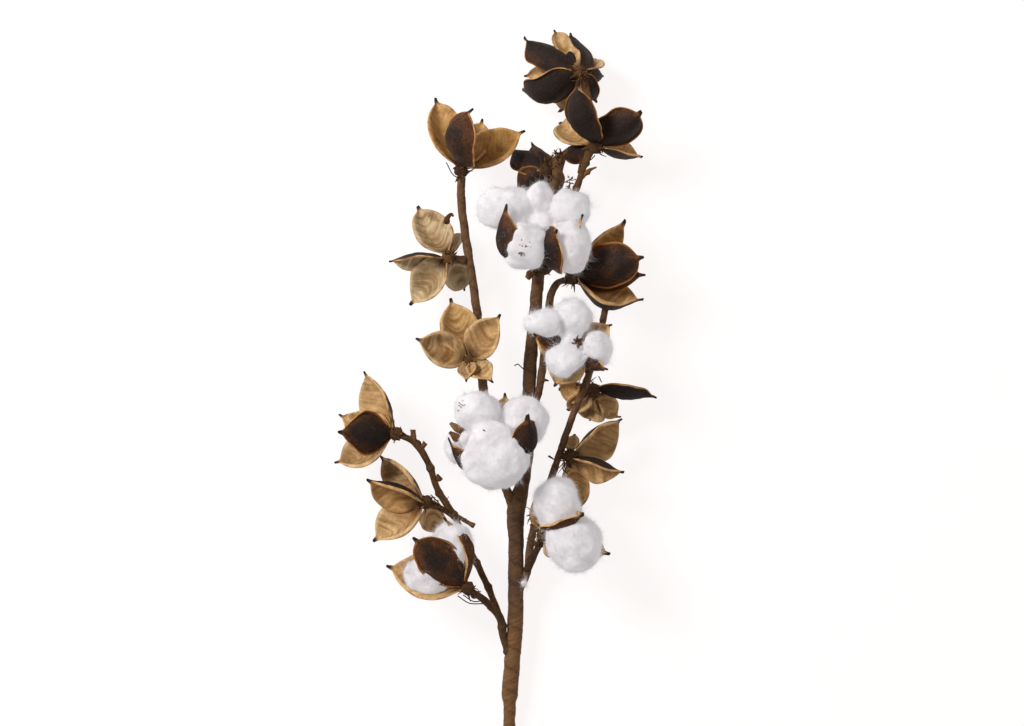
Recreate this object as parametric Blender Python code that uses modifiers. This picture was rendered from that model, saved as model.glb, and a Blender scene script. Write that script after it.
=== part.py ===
"""Cotton stem bunch: a taped stem with dried burs and five open cotton bolls, lying on its back.

Lengths in the tables are millimetres.  +Z points up from the surface that the bunch lies on, +Y runs
from the cut end to the top, and the origin is under the middle of the bunch.
"""
import math
from collections import namedtuple

import bmesh
import bpy
from mathutils import Matrix, Vector, noise

MM = 0.001
GAP = 0.3             # clearance between neighbouring pieces
LINT_GAP = 0.7        # clearance between the lint and what it wraps round
SHELL = 1.3           # thickness of a bur's valve
CUP = 0.42            # height of a valve's raised edges, as a share of its width
BOW = 0.13            # outward bulge of most valves' spines, as a share of the length
CLASP = 0.24          # the same for valves that clasp their cotton
BEAK = 0.05           # outward hook of a valve's tip, as a share of its length
VALVE_STEPS = (0, 0.15, 0.42, 0.72, 0.91, 1)   # where a valve's cross-sections are, from base to tip
VALVE_COLUMNS = 3
VALVE_ROOT = 3.2      # distance from the seat to where a valve starts
WIDEST = 0.42         # where a valve is widest, from base to tip
RECEPTACLE = 4.6      # radius of the knob that a bur's valves grow from
STALK = 2.2           # radius of a bur's own short stalk
LUMPS = 0.10          # unevenness of the lint, as a share of its radius
CORE = 0.62           # lint core, as a share of the locks' spread
WELD = 0.00001
SLAB = (400, 700, 40)  # the cutter below the surface that the bunch lies on
BUR_FLAT = 4          # faces of a bur whose directions differ by fewer degrees are merged
LINT_FLAT = 10        # the same for lint

Stem = namedtuple("Stem", "name joins points")
Head = namedtuple("Head", "name seat stalk stems valves locks")

# A stem's points are x, y, z and radius.  It is trimmed to the stems that it joins.
STEMS = [
    Stem("main_stem", [], [
        (8, -277, 3, 3.7), (9, -232, 3, 3.7), (10, -158, 8, 3.8), (10, -146, 9, 3.9), (10, -143, 9.5, 4.9),
        (11, -128, 11, 5), (13, -104, 13, 5), (14, -74, 16, 5.1), (14, -45, 19, 4.8), (14.5, -22, 21, 5.8),
        (17.5, -10, 22, 4.5), (20, 8, 24, 4.5), (22, 45, 27, 4.3), (23, 70, 29, 4.1), (26, 100, 31, 4),
        (29, 130, 33, 3.8), (34, 157, 35, 3.6), (38, 180, 37, 3.6), (41, 196, 39, 4)]),
    Stem("left_stem", ["main_stem"], [
        (12, -22, 22, 3), (7, -8, 25, 3), (2, 17, 27, 3), (-6, 48, 29, 2.9), (-7, 60, 29, 2.8), (-9, 88, 29, 2.7),
        (-13, 119, 30, 2.6), (-17, 144, 31, 2.6), (-20, 168, 32, 2.6), (-20, 184, 33, 2.5)]),
    Stem("inner_stem", ["main_stem"], [
        (23, 36, 27, 2.4), (28, 50, 30, 2.4), (31, 70, 31, 2.4), (34, 98, 33, 2.4), (36, 111, 35, 2.3),
        (40, 118, 38, 2.2), (46, 120, 41, 2.2)]),
    Stem("right_stem", ["main_stem"], [
        (15, -76, 16, 2.5), (20, -66, 18, 2.5), (23, -46, 21, 2.4), (26, -32, 23, 2.4), (31, -17, 25, 2.3),
        (38, 2, 29, 2.3), (46, 26, 37, 2.2), (53, 45, 42, 2.2), (58, 57, 42, 2.2), (64, 79, 36, 2.1),
        (68, 94, 33, 2.1), (70, 104, 32, 2.1)]),
    Stem("lower_right_twig", ["right_stem"], [
        (21, -62, 19, 2.3), (25, -53, 27, 2.2), (28, -46, 35, 2.1), (30, -40, 41, 2)]),
    Stem("lower_left_twig", ["main_stem"], [
        (11, -118, 12, 2.6), (6, -104, 15, 2.5), (4, -92, 19, 2.4), (-2, -84, 26, 2.3), (-8, -78, 32, 2.2),
        (-14, -74, 38, 2.2)]),
    Stem("far_left_twig", ["lower_left_twig"], [
        (3, -90, 20, 2.2), (-3, -74, 17, 2.1), (-8, -63, 16, 2), (-16, -47, 18, 2), (-24, -29, 22, 2.1),
        (-35, -11, 27, 2), (-42, 8, 31, 2.1), (-50, 19, 33, 2.2), (-58, 23, 35, 2)]),
    Stem("far_left_lower_twig", ["far_left_twig"], [
        (-25, -28, 22, 1.9), (-33, -23, 26, 1.8), (-40, -20, 29, 1.8)]),
    Stem("upper_right_twig", ["main_stem"], [
        (31, 136, 34, 2.2), (38, 149, 37, 2.1), (45, 164, 39, 2), (52, 177, 40, 2), (56, 190, 41, 1.9),
        (61, 200, 42, 1.9)]),
    Stem("top_twig", ["upper_right_twig"], [
        (56, 191, 41, 1.9), (61, 206, 36, 1.8), (61, 220, 34, 1.9), (59, 232, 34, 2.3), (56, 244, 36, 2.4)]),
]

# A valve is heading, pitch, length, width, face and bow: the compass angle and rise of its tip from
# the seat, the roll of its inner side, which faces up at 0, left of the heading at 90 and down at 180,
# and the bulge of its spine where that differs from BOW.
# A lock is the centre of one lobe of lint from the seat, then its three radii.
HEADS = [
    Head("top_bur", (54, 249, 38), [], ["top_twig"], [
        (149, -20, 43, 26, 145), (192, -38, 45, 32, -125, 0.28), (121, -26, 36, 19, -15),
        (98, -64, 48, 27, 160), (48, -58, 34, 20, 20), (0, -70, 38, 20, 180), (244, -48, 41, 24, 0),
        (181, -28, 41, 15, 0), (-56, -55, 32, 16, 150)], []),
    Head("upper_right_bur", (63, 202, 42), [], ["upper_right_twig", "top_twig"], [
        (112, 33, 46, 28, -140, 0.26), (140, -39, 38, 27, -20), (35, 22, 39, 30, 152),
        (-4, -37, 38, 28, 58), (190, -50, 32, 18, 150)], []),
    Head("hidden_bur", (33, 188, 38), [], ["main_stem"], [
        (150, -46, 36, 21, 150), (207, -42, 30, 24, -150), (118, -58, 34, 18, 160),
        (-63, -62, 34, 20, 180)], []),
    Head("top_boll", (32, 127, 53), [(27, 118, 32), (29, 123, 43)], ["main_stem", "upper_right_twig"], [
        (120, 22, 49, 34, -112, 0.42), (66, 45, 39, 35, -136, CLASP), (55, 26, 42, 22, 20),
        (100, -4, 44, 24, 0)],
        [(-23, 36, 2, 18, 14, 13), (-3, 42, 4, 8, 11, 10), (15, 36, 6, 13, 12, 12),
         (-10.5, 13, 14, 13, 15, 14), (17, 13, 9, 14, 17, 14)]),
    Head("right_bur", (49, 121, 42), [], ["inner_stem"], [
        (44, -8, 50, 28, -35), (17, 20, 49, 32, 170), (3, -12, 46, 24, 170),
        (-12, -3, 46, 38, 60, 0.34)], []),
    Head("middle_boll", (53, 77, 48), [(59, 62, 41), (57, 69, 44)], ["right_stem", "inner_stem"], [
        (170, 55, 45, 27, 30, CLASP), (165, 30, 36, 15, 170), (-30, 50, 33, 20, 110, CLASP),
        (125, 22, 35, 22, 0), (39, 34, 28, 20, 0), (236, 10, 28, 28, -10)],
        [(-20, 14, 14, 13, 9, 11), (-4, 19, 13, 12, 11, 12), (11, 0, 16, 9, 11, 11),
         (-9, -7, 15, 14, 11, 11)]),
    Head("small_right_bur", (62, 51, 32), [(56, 52, 39)], ["right_stem"], [
        (-1, -6, 40, 25, 92), (178, -35, 28, 20, 35), (222, -42, 28, 16, 20), (-95, -45, 31, 23, -20),
        (-51, -25, 28, 16, 0)], []),
    Head("lower_right_bur", (48, 10, 36), [(42, 10, 31)], ["right_stem"], [
        (33, -12, 41, 37, -50), (-22, 20, 36, 28, -66), (-80, -30, 43, 19, 0), (80, -20, 15, 11, 30)], []),
    Head("lower_right_boll", (31, -38, 44), [], ["lower_right_twig", "right_stem"], [
        (35, 50, 43, 24, 102), (-17, 10, 43, 30, 12), (98, 8, 26, 15, 0), (-50, -8, 18, 18, 10)],
        [(9, 18, 9, 15, 17, 15), (19, -5, 13, 17, 18, 16)]),
    Head("centre_boll", (3, 16, 54), [(18, 4, 26), (10, 10, 40)], ["main_stem", "left_stem"], [
        (158, 26, 33, 30, -100, 0.55), (54, 44, 38, 34, 112, 0.5), (81, 14, 34, 24, 0),
        (215, 6, 20, 18, 0), (-35, 8, 24, 22, 0)],
        [(-13, 22, 10, 14, 13, 13), (16, 16, 6, 15, 16, 13), (0, -5, 18, 19, 20, 16),
         (-26, 0, 3, 7, 10, 8)]),
    Head("upper_left_bur", (-20, 188, 35), [], ["left_stem"], [
        (110, -12, 51, 28, -20), (76, 30, 45, 38, -125, 0.34), (69, -36, 47, 24, 10),
        (36, -10, 48, 31, 30)], []),
    Head("left_bur", (-28, 134, 33), [(-17, 132, 31), (-23, 133, 32)], ["left_stem"], [
        (122, -18, 41, 26, -10), (187, 2, 37, 22, 62), (230, -8, 39, 26, -20), (-62, -45, 34, 20, 0),
        (84, -60, 40, 18, 20)], []),
    Head("left_lower_bur", (-15, 69, 46), [(-8, 65, 31), (-12, 67, 39)], ["left_stem"], [
        (107, -10, 42, 28, -5), (156, 20, 37, 25, -15), (57, 22, 36, 26, 25), (-100, 60, 21, 13, -20),
        (-38, 50, 27, 18, 20)], []),
    Head("far_left_bur", (-61, 24, 35), [], ["far_left_twig"], [
        (120, -12, 45, 34, 48), (163, -26, 44, 20, -20), (178, 30, 42, 32, 180),
        (204, -14, 45, 29, -34, 0.2)], []),
    Head("far_left_lower_bur", (-42, -19, 30), [], ["far_left_lower_twig", "far_left_twig"], [
        (138, -14, 43, 34, 51), (162, 20, 41, 35, 60), (215, 3, 41, 33, -40), (188, -50, 34, 16, 0),
        (-72, -45, 34, 18, 0)], []),
    Head("lower_left_boll", (-16, -72, 41), [], ["lower_left_twig", "far_left_twig"], [
        (135, 20, 51, 29, 180), (165, -10, 54, 34, -20), (114, -3, 46, 16, 95, 0.3),
        (148, -42, 40, 24, 0)],
        [(-25, 7, -6, 14, 13, 13), (-10, 25, -7, 13, 16, 14), (-19, 17, -14, 14, 14, 11)]),
]


def clear_scene():
    """Remove everything that the default file holds."""
    for thing in list(bpy.data.objects):
        bpy.data.objects.remove(thing, do_unlink=True)


def new_collection(name):
    """A collection linked to the scene."""
    collection = bpy.data.collections.new(name)
    bpy.context.scene.collection.children.link(collection)
    return collection


def new_material(name, colour, roughness):
    """A Principled material."""
    material = bpy.data.materials.new(name)
    material.use_nodes = True
    shader = material.node_tree.nodes["Principled BSDF"]
    shader.inputs["Base Color"].default_value = (*colour, 1)
    shader.inputs["Roughness"].default_value = roughness
    return material


def mesh_object(name, mesh, collection):
    """An object for a mesh, in a collection."""
    thing = bpy.data.objects.new(name, mesh)
    collection.objects.link(thing)
    return thing


def from_bmesh(name, bm, collection):
    """An object for a bmesh, scaled from millimetres."""
    bmesh.ops.scale(bm, vec=(MM, MM, MM), verts=bm.verts)
    mesh = bpy.data.meshes.new(name)
    bm.to_mesh(mesh)
    bm.free()
    return mesh_object(name, mesh, collection)


def baked(thing):
    """The object's mesh with its modifiers applied."""
    graph = bpy.context.evaluated_depsgraph_get()
    return bpy.data.meshes.new_from_object(thing.evaluated_get(graph), depsgraph=graph)


def apply_modifiers(thing):
    """Replace the object's mesh by its evaluated one."""
    mesh = baked(thing)
    thing.modifiers.clear()
    thing.data = mesh


def remove_collection(collection):
    """Remove a collection with its objects."""
    for thing in list(collection.objects):
        bpy.data.objects.remove(thing, do_unlink=True)
    bpy.data.collections.remove(collection)


def combine(thing, others, operation):
    """Join a collection's objects to the object, or cut them from it, and remove them."""
    boolean = thing.modifiers.new("combine", "BOOLEAN")
    boolean.operand_type = "COLLECTION"
    boolean.collection = others
    boolean.operation = operation
    boolean.solver = "MANIFOLD"
    apply_modifiers(thing)
    remove_collection(others)


def drop_scraps(thing):
    """Keep the largest body of a mesh, where faces that share an edge belong together."""
    bm = bmesh.new()
    bm.from_mesh(thing.data)
    left = set(bm.faces)
    bodies = []
    while left:
        body = {left.pop()}
        front = list(body)
        while front:
            face = front.pop()
            near = {other for edge in face.edges for other in edge.link_faces} & left
            left -= near
            body |= near
            front.extend(near)
        bodies.append(body)
    bodies.sort(key=len)
    scraps = [face for body in bodies[:-1] for face in body]
    bmesh.ops.delete(bm, geom=scraps, context="FACES")
    bm.to_mesh(thing.data)
    bm.free()


def tube(name, points, grow, collection):
    """A closed tube through points of x, y, z and radius."""
    curve = bpy.data.curves.new(name, "CURVE")
    curve.dimensions = "3D"
    curve.bevel_depth = MM
    curve.bevel_resolution = 2
    curve.use_fill_caps = True
    spline = curve.splines.new("POLY")
    spline.points.add(len(points) - 1)
    for knot, (x, y, z, radius) in zip(spline.points, points):
        knot.co = (x * MM, y * MM, z * MM, 1)
        knot.radius = radius + grow
    path = mesh_object(name + "_path", curve, collection)
    mesh = baked(path)
    bpy.data.objects.remove(path, do_unlink=True)
    bm = bmesh.new()
    bm.from_mesh(mesh)
    bmesh.ops.remove_doubles(bm, verts=bm.verts, dist=WELD)
    bm.to_mesh(mesh)
    bm.free()
    return mesh_object(name, mesh, collection)


def heading_vector(heading, pitch):
    """The unit vector at a compass heading and a rise, both in degrees."""
    turn = math.radians(heading)
    rise = math.radians(pitch)
    return Vector((math.cos(rise) * math.cos(turn), math.cos(rise) * math.sin(turn), math.sin(rise)))


def valve_frame(seat, heading, pitch, face):
    """The matrix whose X runs from base to tip and whose Z is the valve's inner side."""
    along = heading_vector(heading, pitch)
    left = heading_vector(heading + 90, 0)
    up = along.cross(left)
    roll = math.radians(face)
    inner = up * math.cos(roll) + left * math.sin(roll)
    across = inner.cross(along)
    turn = Matrix((along, across, inner)).transposed().to_4x4()
    return Matrix.Translation(seat) @ turn


def valve_outline(u):
    """Half-width along a valve, as a share of its widest: round base, full middle, narrow beak."""
    if u < WIDEST:
        full = (1 - (1 - u / WIDEST) ** 2.2) ** 0.75
    else:
        full = 1 - ((u - WIDEST) / (1 - WIDEST)) ** 1.9
    return max(full, 0.13 - 0.07 * u)


def valve_point(u, v, length, width, bow):
    """A point of a valve's middle surface, for u from base to tip and v from edge to edge."""
    half = width / 2 * valve_outline(u)
    edge = CUP * width * valve_outline(u) * abs(v) ** 1.8
    spine = -bow * length * math.sin(math.pi * u) - BEAK * length * u ** 6
    return Vector((VALVE_ROOT + u * (length - VALVE_ROOT), half * v * (1 - 0.12 * abs(v)), spine + edge))


def valve(name, seat, row, grow, collection):
    """One boat-shaped shell, grown on all sides where it serves as a cutter."""
    heading, pitch, length, width, face, bow = (*row, BOW)[:6]
    bm = bmesh.new()
    rows = len(VALVE_STEPS) - 1
    bmesh.ops.create_grid(bm, x_segments=rows, y_segments=VALVE_COLUMNS, size=1)
    for corner in bm.verts:
        u = VALVE_STEPS[round((corner.co.x + 1) / 2 * rows)]
        corner.co = valve_point(u, corner.co.y, length + grow, width + 2 * grow, bow)
    bmesh.ops.triangulate(bm, faces=bm.faces)
    bm.transform(valve_frame(seat, heading, pitch, face))
    shell = from_bmesh(name, bm, collection)
    solidify = shell.modifiers.new("shell", "SOLIDIFY")
    solidify.thickness = (SHELL + 2 * grow) * MM
    solidify.offset = 0
    return shell


def receptacle(name, seat, grow, collection):
    """The knob that a bur's valves and stalk grow from."""
    bm = bmesh.new()
    bmesh.ops.create_uvsphere(bm, u_segments=7, v_segments=4, radius=RECEPTACLE + grow)
    bmesh.ops.translate(bm, vec=seat, verts=bm.verts)
    return from_bmesh(name, bm, collection)


def lobe(name, centre, radii, collection):
    """A body of lint: a sphere stretched to three radii, with uneven lumps."""
    bm = bmesh.new()
    bmesh.ops.create_icosphere(bm, subdivisions=2, radius=1)
    for corner in bm.verts:
        swell = 1 + LUMPS * noise.noise(corner.co * 1.7 + centre)
        corner.co = centre + Vector([r * c * swell for r, c in zip(radii, corner.co)])
    return from_bmesh(name, bm, collection)


def bur_pieces(head, grow, collection):
    """The receptacle, valves and stalk of one bur, as loose closed pieces."""
    seat = Vector(head.seat)
    knob = receptacle(head.name, seat, grow, collection)
    for number, row in enumerate(head.valves):
        valve(f"{head.name}_valve_{number}", seat, row, grow, collection)
    if head.stalk:
        points = [(x, y, z, STALK) for x, y, z in head.stalk + [head.seat]]
        tube(head.name + "_stalk", points, grow, collection)
    return knob


def stem_cutters(names, gap, collection):
    """Stems thickened by the clearance, to trim what meets them."""
    for stem in STEMS:
        if stem.name in names:
            tube(stem.name + "_cutter", stem.points, gap, collection)


def floor_cutter(collection):
    """A slab below the surface that the bunch lies on."""
    bm = bmesh.new()
    bmesh.ops.create_cube(bm, size=1)
    bmesh.ops.scale(bm, vec=SLAB, verts=bm.verts)
    bmesh.ops.translate(bm, vec=(0, 0, -SLAB[2] / 2), verts=bm.verts)
    from_bmesh("floor_cutter", bm, collection)


def merge_flat_faces(thing, degrees):
    """Merge the slivers that a union leaves on faces that are flat all the same."""
    bm = bmesh.new()
    bm.from_mesh(thing.data)
    bmesh.ops.dissolve_limit(bm, angle_limit=math.radians(degrees), verts=bm.verts, edges=bm.edges)
    bmesh.ops.triangulate(bm, faces=bm.faces)
    bm.to_mesh(thing.data)
    bm.free()


def finish_piece(thing, material):
    """Triangulate, shade and colour a piece."""
    bm = bmesh.new()
    bm.from_mesh(thing.data)
    bmesh.ops.triangulate(bm, faces=bm.faces)
    bm.to_mesh(thing.data)
    bm.free()
    thing.data.materials.clear()
    thing.data.materials.append(material)
    thing.data.shade_smooth()


def build_stem(stem, material, pieces):
    """One stem, trimmed to the stems that it joins and flat where it lies on the surface."""
    cutters = new_collection("cutters")
    stem_cutters(stem.joins, GAP, cutters)
    floor_cutter(cutters)
    thing = tube(stem.name, stem.points, 0, pieces)
    combine(thing, cutters, "DIFFERENCE")
    drop_scraps(thing)
    finish_piece(thing, material)


def build_bur(head, material, pieces):
    """One bur, fused from its valves, receptacle and stalk."""
    loose = new_collection("loose")
    knob = bur_pieces(head, 0, loose)
    loose.objects.unlink(knob)
    pieces.objects.link(knob)
    knob.name = head.name
    combine(knob, loose, "UNION")
    cutters = new_collection("cutters")
    stem_cutters(head.stems, GAP, cutters)
    floor_cutter(cutters)
    combine(knob, cutters, "DIFFERENCE")
    merge_flat_faces(knob, BUR_FLAT)
    drop_scraps(knob)
    finish_piece(knob, material)


def build_lint(head, material, pieces):
    """The cotton of one boll: its locks and their core, clear of the bur and the stems."""
    loose = new_collection("loose")
    seat = Vector(head.seat)
    centres = [Vector(lock[:3]) for lock in head.locks]
    middle = sum(centres, Vector()) / len(centres)
    spread = sum((centre - middle).length for centre in centres) / len(centres)
    core = lobe(head.name + "_lint", seat + middle, [CORE * spread] * 3, pieces)
    for number, lock in enumerate(head.locks):
        centre = seat + centres[number]
        lobe(f"lock_{number}", centre, lock[3:], loose)
    combine(core, loose, "UNION")
    cutters = new_collection("cutters")
    bur_pieces(head, LINT_GAP, cutters)
    stem_cutters([stem.name for stem in STEMS], LINT_GAP, cutters)
    combine(core, cutters, "DIFFERENCE")
    merge_flat_faces(core, LINT_FLAT)
    drop_scraps(core)
    finish_piece(core, material)


def main():
    clear_scene()
    pieces = new_collection("cotton_stem_bunch")
    tape = new_material("paper_tape", (0.15, 0.08, 0.045), 0.85)
    husk = new_material("dried_bur", (0.16, 0.08, 0.04), 0.7)
    cotton = new_material("cotton_lint", (0.86, 0.85, 0.85), 0.95)
    for stem in STEMS:
        build_stem(stem, tape, pieces)
    for head in HEADS:
        build_bur(head, husk, pieces)
        if head.locks:
            build_lint(head, cotton, pieces)


main()
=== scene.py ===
"""Looks of the cotton stem bunch: fine burs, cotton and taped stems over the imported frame.

Tables and patches are in millimetres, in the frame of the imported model: +Z up from the surface that
the bunch lies on, +Y from the cut end to the top.  The rows of stems, burs and cotton follow the
source's own, with small corrections to a few valves and locks.
"""
import math
from collections import namedtuple

import bmesh
import bpy
import numpy as np
from mathutils import Matrix, Vector, noise


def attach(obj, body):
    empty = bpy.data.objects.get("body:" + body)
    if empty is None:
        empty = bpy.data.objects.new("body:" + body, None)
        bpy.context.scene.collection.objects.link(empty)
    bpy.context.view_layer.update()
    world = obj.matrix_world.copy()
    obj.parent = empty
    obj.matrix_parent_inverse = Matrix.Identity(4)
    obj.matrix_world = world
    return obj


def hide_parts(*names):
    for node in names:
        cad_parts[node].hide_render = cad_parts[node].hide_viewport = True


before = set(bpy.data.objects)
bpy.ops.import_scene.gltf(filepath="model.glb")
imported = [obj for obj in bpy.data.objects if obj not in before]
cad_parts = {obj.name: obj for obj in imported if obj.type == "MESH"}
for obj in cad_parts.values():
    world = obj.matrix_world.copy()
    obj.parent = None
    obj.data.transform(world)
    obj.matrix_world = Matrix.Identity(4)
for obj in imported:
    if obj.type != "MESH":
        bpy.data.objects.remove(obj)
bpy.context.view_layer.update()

MM = 0.001
CUP = 0.42            # height of a valve's raised edges, as a share of its width
BOW = 0.13            # outward bulge of most valves' spines, as a share of the length
CLASP = 0.24          # the same for valves that clasp their cotton
BEAK = 0.05           # outward hook of a valve's tip, as a share of its length
VALVE_ROOT = 3.2      # distance from the seat to where a valve starts
WIDEST = 0.42         # where a valve is widest, from base to tip
BODY_END = 0.93       # where the full width of a valve ends and only its beak goes on
WALL = 1.1            # thickness of a valve
LIP = 0.84            # share of the half-width where a valve's edge starts to turn out
VALVE_ROWS = 36
VALVE_COLUMNS = (-1, -0.94, -0.86, -0.76, -0.63, -0.48, -0.32, -0.16,
                 0, 0.16, 0.32, 0.48, 0.63, 0.76, 0.86, 0.94, 1)
RECEPTACLE = 4.4      # radius of the knob that a bur's valves grow from
STALK = 2.2           # radius of a bur's own short stalk
SCALES = 18           # dry scales round a knob
EDGE_PULL = 0.12      # how far a valve's side points are drawn in at its edges
WAVES = 2.2, 1.2      # waviness of a valve's edges, up and down and sideways
HOOK_START = 0.76     # where a valve's tip starts to turn aside
TWIST = 0.16          # how far a free valve turns on its way to its tip, in radians
HELD_TWIST = 0.05     # the same for a valve that clasps its cotton
TAPE_TURN = 13.5      # rise of the paper tape in one turn round a stem
TAPE_LAP = 0.16       # share of a turn where the tape lies double
STEM_STEP = 0.9       # spacing of a stem's rings
TAPE_SIDES, BARK_SIDES, STALK_SIDES = 22, 16, 14
NODE_SPACING = 17     # from one node of a twig to the next
NODE_LENGTH = 1.7     # how far a node's swelling reaches
NODE_TURN = 2.4       # round the twig from one node's scar to the next, in radians
WIRE_RADIUS = 0.35
CORE = 0.48           # lint core, as a share of the locks' spread
CORE_DROP = 4         # how far the core is below the locks' middle
VOXEL = 1.3           # grid on which the locks of lint are fused
SHORT_FIBRES = 16000  # short lint fibres of each boll
LONG_FIBRES = 1600    # longer, curved ones
WISPS = 130           # tufts of long fibres that stand out together
WISP_FIBRES = 14
FIBRE_RADIUS = 0.045
CLEFT_WIDTH = 1.8     # reach of the shade beside a cleft between two locks
CLEFT_DEPTH = 1.6     # how far a cleft is pressed in
CLEARANCE = 1.3       # from a clasping valve's middle surface to its lint
FLECK_REACH = 1.2     # how near a point of the lint has to be to carry a fleck
FLOOR_COLOUR = (0.16, 0.157, 0.155, 1)
FLOOR_GLOW = 0.91
SKY_STRENGTH = 0.36
FLOOR_SIZE = 12       # metres
CAMERA_PLACE = (0.0115, 0.068, 2.1617)
LIGHTS = [("key", (-1.2, 0.9, 1.5), 0.7, 40), ("fill", (1.2, -0.4, 1.8), 1.6, 6)]
LENS, SENSOR = 120, 36

Stem = namedtuple("Stem", "name finish tone points")
Head = namedtuple("Head", "name seat stalk look valves locks")
Look = namedtuple("Look", "tone wear wrinkle")
Valve = namedtuple("Valve", "heading pitch length width face bow blunt hook", defaults=(BOW, 0.2, 0))
Patch = namedtuple("Patch", "points faces skin grain material")

# The skin of a patch is four numbers at each point.  On a valve: its side, from 0 inside to 1 outside,
# centimetres from the edge, place from base to tip, and tone or wear.  On a tube: furrow, nothing,
# place along it, and tone.  On cotton: whether it is a fibre, and how near a cleft it is.


def bur(name, seat, stalk, look, valves, locks=()):
    """A bur's row, with names for the parts of its look and its valves."""
    return Head(name, seat, stalk, Look(*look), [Valve(*row) for row in valves], locks)


# A stem's points are x, y, z and radius.  Its tone runs from dark at 0 to pale at 1.
STEMS = [
    Stem("main_stem", "tape", 0.4, [
        (8, -277, 3, 3.7), (9, -232, 3, 3.7), (10, -158, 8, 3.8), (10, -146, 9, 3.9), (10, -143, 9.5, 4.9),
        (11, -128, 11, 5), (13, -104, 13, 5), (14, -74, 16, 5.1), (14, -45, 19, 4.8), (14.5, -22, 21, 5.8),
        (17.5, -10, 22, 4.5), (20, 8, 24, 4.5), (22, 45, 27, 4.3), (23, 70, 29, 4.1), (26, 100, 31, 4),
        (29, 130, 33, 3.8), (34, 157, 35, 3.6), (38, 180, 37, 3.6), (41, 196, 39, 4)]),
    Stem("left_stem", "tape", 0.45, [
        (12, -22, 22, 3), (7, -8, 25, 3), (2, 17, 27, 3), (-6, 48, 29, 2.9), (-7, 60, 29, 2.8),
        (-9, 88, 29, 2.7), (-13, 119, 30, 2.6), (-17, 144, 31, 2.6), (-20, 168, 32, 2.6),
        (-20, 184, 33, 2.5)]),
    Stem("inner_stem", "tape", 0.3, [
        (23, 36, 27, 2.4), (28, 50, 30, 2.4), (31, 70, 31, 2.4), (34, 98, 33, 2.4), (36, 111, 35, 2.3),
        (40, 118, 38, 2.2), (46, 120, 41, 2.2)]),
    Stem("right_stem", "tape", 0.35, [
        (15, -76, 16, 2.5), (20, -66, 18, 2.5), (23, -46, 21, 2.4), (26, -32, 23, 2.4), (31, -17, 25, 2.3),
        (38, 2, 29, 2.3), (46, 26, 37, 2.2), (53, 45, 42, 2.2), (58, 57, 42, 2.2), (64, 79, 36, 2.1),
        (68, 94, 33, 2.1), (70, 104, 32, 2.1)]),
    Stem("lower_right_twig", "bark", 0.1, [
        (21, -62, 19, 2.3), (25, -53, 27, 2.2), (28, -46, 35, 2.1), (30, -40, 41, 2)]),
    Stem("lower_left_twig", "bark", 0.35, [
        (11, -118, 12, 2.6), (6, -104, 15, 2.5), (4, -92, 19, 2.4), (-2, -84, 26, 2.3), (-8, -78, 32, 2.2),
        (-14, -74, 38, 2.2)]),
    Stem("far_left_twig", "bark", 0.4, [
        (3, -90, 20, 2.2), (-3, -74, 17, 2.1), (-8, -63, 16, 2), (-16, -47, 18, 2), (-24, -29, 22, 2.1),
        (-35, -11, 27, 2), (-42, 8, 31, 2.1), (-50, 19, 33, 2.2), (-58, 23, 35, 2)]),
    Stem("far_left_lower_twig", "bark", 0.3, [
        (-25, -28, 22, 1.9), (-33, -23, 26, 1.8), (-40, -20, 29, 1.8)]),
    Stem("upper_right_twig", "bark", 0.45, [
        (31, 136, 34, 2.2), (38, 149, 37, 2.1), (45, 164, 39, 2), (52, 177, 40, 2), (56, 190, 41, 1.9),
        (61, 200, 42, 1.9)]),
    Stem("top_twig", "bark", 0.6, [
        (56, 191, 41, 1.9), (61, 206, 36, 1.8), (61, 220, 34, 1.9), (59, 232, 34, 2.3), (56, 244, 36, 2.4)]),
]

# The main stem's tone at heights along Y.
MAIN_STEM_TONES = [(-95, 0.8), (-72, 0.15), (-24, 0.1), (-20, 0.4), (60, 0.3)]

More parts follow.
